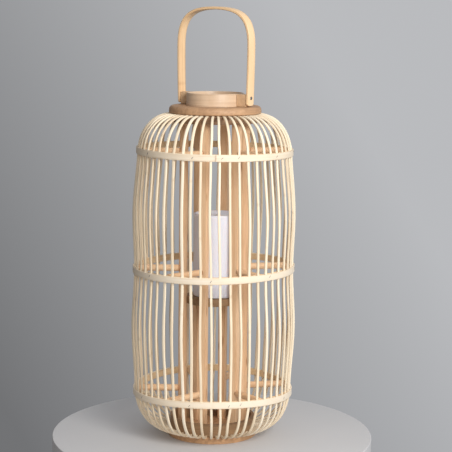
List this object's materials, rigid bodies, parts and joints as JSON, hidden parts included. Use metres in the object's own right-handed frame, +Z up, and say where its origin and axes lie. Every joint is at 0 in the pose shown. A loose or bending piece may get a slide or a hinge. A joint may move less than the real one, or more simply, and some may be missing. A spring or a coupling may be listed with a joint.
{
  "type": "bamboo candle lantern",
  "caption": "Tall barrel-shaped candle lantern: a cage of bent bamboo ribs round a post frame, with a candle on a shelf, an open collar and a swinging strap handle.",
  "frame": {"origin": "centre of the base's underside, on the surface that the lantern stands on", "axes": "+Z up along the lantern's axis; the handle turns about an axis along X"},
  "size_m": [0.304, 0.304, 0.7957],
  "materials": {
    "bamboo_pale": "split bamboo, bare and satin",
    "bamboo_inner": "split bamboo, inner side",
    "bamboo_honey": "bent bamboo strip, smooth and satin",
    "frame_wood": "sawn and sanded softwood",
    "rim_wood": "turned and sanded wood",
    "base_wood": "turned wood, bare",
    "wax": "white wax, smooth",
    "wick": "braided cotton",
    "steel": "plain wire nail"
  },
  "bodies": {
    "lantern": {"base_disc": "base_wood", "base_ring": "base_wood", "top_ring": "frame_wood", "rim_ring": "rim_wood", "collar": "bamboo_honey", "rib_panel_1": "bamboo_pale", "rib_panel_2": "bamboo_pale", "rib_panel_3": "bamboo_pale", "rib_panel_4": "bamboo_pale", "rib_panel_5": "bamboo_pale", "rib_panel_6": "bamboo_pale", "rib_panel_7": "bamboo_pale", "rib_panel_8": "bamboo_pale", "rib_panel_9": "bamboo_pale", "rib_panel_10": "bamboo_pale", "rib_panel_11": "bamboo_pale", "rib_panel_12": "bamboo_pale", "rib_panel_13": "bamboo_pale", "rib_panel_14": "bamboo_pale", "outer_hoop_bottom": "bamboo_pale", "outer_hoop_middle": "bamboo_pale", "outer_hoop_top": "bamboo_pale", "inner_hoop_bottom": "bamboo_inner", "inner_hoop_middle": "bamboo_inner", "inner_hoop_top": "bamboo_inner", "post_1": "frame_wood", "post_2": "frame_wood", "post_3": "frame_wood", "post_4": "frame_wood", "post_5": "frame_wood", "post_6": "frame_wood", "spoke_bottom_1": "frame_wood", "spoke_bottom_2": "frame_wood", "spoke_bottom_3": "frame_wood", "spoke_bottom_4": "frame_wood", "spoke_bottom_5": "frame_wood", "spoke_bottom_6": "frame_wood", "spoke_middle_1": "frame_wood", "spoke_middle_2": "frame_wood", "spoke_middle_3": "frame_wood", "spoke_middle_4": "frame_wood", "spoke_middle_5": "frame_wood", "spoke_middle_6": "frame_wood", "spoke_top_1": "frame_wood", "spoke_top_2": "frame_wood", "spoke_top_3": "frame_wood", "spoke_top_4": "frame_wood", "spoke_top_5": "frame_wood", "spoke_top_6": "frame_wood", "candle_shelf": "base_wood", "shelf_nail_1": "steel", "shelf_nail_2": "steel", "shelf_nail_3": "steel", "handle_block_right": "frame_wood", "handle_block_left": "frame_wood", "handle_nail_right": "steel", "handle_nail_left": "steel"},
    "handle": {"handle_strap": "bamboo_honey"},
    "candle": {"candle": "wax", "candle_wick": "wick"}
  },
  "joints": [
    {"name": "handle_swing", "type": "hinge", "parent": "lantern", "child": "handle", "pos_m": [0, 0, 0.633], "axis": [1, 0, 0], "range_deg": [-90, 90]},
    {"name": "candle_lift", "type": "slide", "parent": "lantern", "child": "candle", "axis": [0, 0, 1], "range_m": [0, 0.36]}
  ]
}
